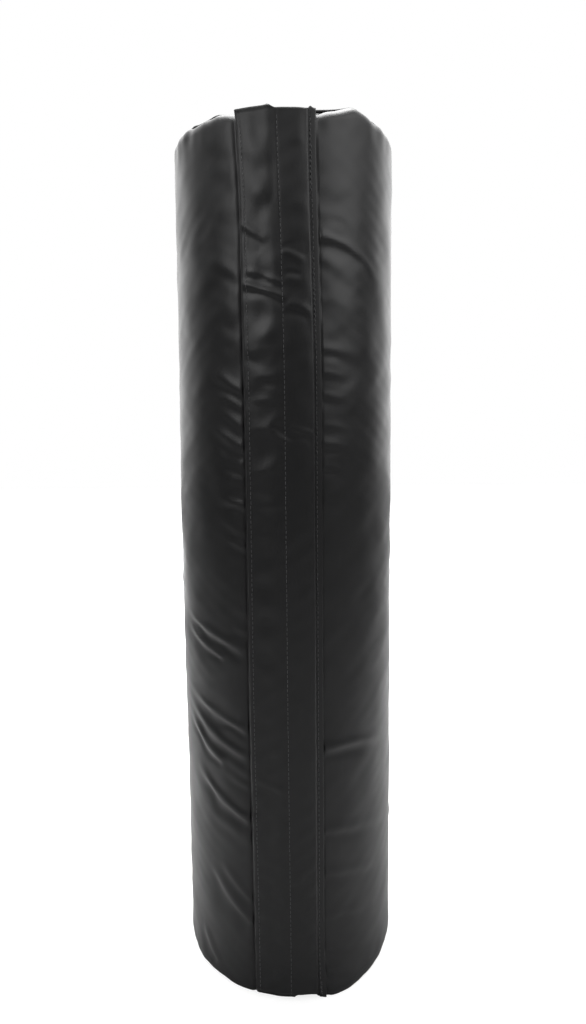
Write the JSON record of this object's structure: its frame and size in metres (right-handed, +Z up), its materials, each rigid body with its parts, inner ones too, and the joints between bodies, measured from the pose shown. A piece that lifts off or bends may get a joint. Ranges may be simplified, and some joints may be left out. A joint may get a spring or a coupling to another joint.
{
  "type": "grappling dummy",
  "caption": "Upright cylindrical grappling dummy: a filled black vinyl bag with piped round ends and a full-length zip under a hook-and-loop flap.",
  "frame": {"origin": "centre of the round base on the floor", "axes": "+Z up along the bag, -Y towards the side that the flap closes, +X to the right seen from that side"},
  "size_m": [0.3199, 0.3263, 1.2],
  "materials": {
    "black_vinyl": "semi-gloss coated vinyl with a fine grain",
    "matte_piping": "matte",
    "grip_tape": "hook and loop pile",
    "zip_tape": "woven",
    "zip_teeth": "moulded coil",
    "zip_metal": "black enamel",
    "foam": "open-cell foam",
    "sack_cloth": "plain woven",
    "shredded_textile": "loose shreds"
  },
  "bodies": {
    "bag": {"cover_wall": "black_vinyl", "top_panel": "black_vinyl", "bottom_panel": "black_vinyl", "top_piping": "matte_piping", "bottom_piping": "matte_piping", "flap_hem": "black_vinyl", "loop_tape": "grip_tape", "zip_tape_left": "zip_tape", "zip_tape_right": "zip_tape", "zip_teeth_left": "zip_teeth", "zip_teeth_right": "zip_teeth", "zip_top_stops": "zip_metal", "zip_bottom_stop": "zip_metal", "foam_sleeve": "foam", "top_foam_pad": "foam", "bottom_foam_pad": "foam", "inner_sack": "sack_cloth", "textile_fill": "shredded_textile"},
    "flap": {"closure_flap": "black_vinyl", "hook_tape": "grip_tape"},
    "slider": {"zip_slider": "zip_metal"},
    "pull": {"zip_pull": "zip_metal"}
  },
  "joints": [
    {"name": "flap_open", "type": "hinge", "parent": "bag", "child": "flap", "pos_m": [0.03956, -0.15802, 0.6], "axis": [0, 0, 1], "range_deg": [0, 160]},
    {"name": "zip_slide", "type": "slide", "parent": "bag", "child": "slider", "axis": [0, 0, -1], "range_m": [0, 1.0716]},
    {"name": "pull_lift", "type": "hinge", "parent": "slider", "child": "pull", "pos_m": [0.02036, -0.16203, 1.1358], "axis": [-0.9922, -0.1247, 0], "range_deg": [0, 60]}
  ],
  "couplings": [
    {"joint": "pull_lift", "follows": "flap_open", "ratio": 0.375}
  ]
}
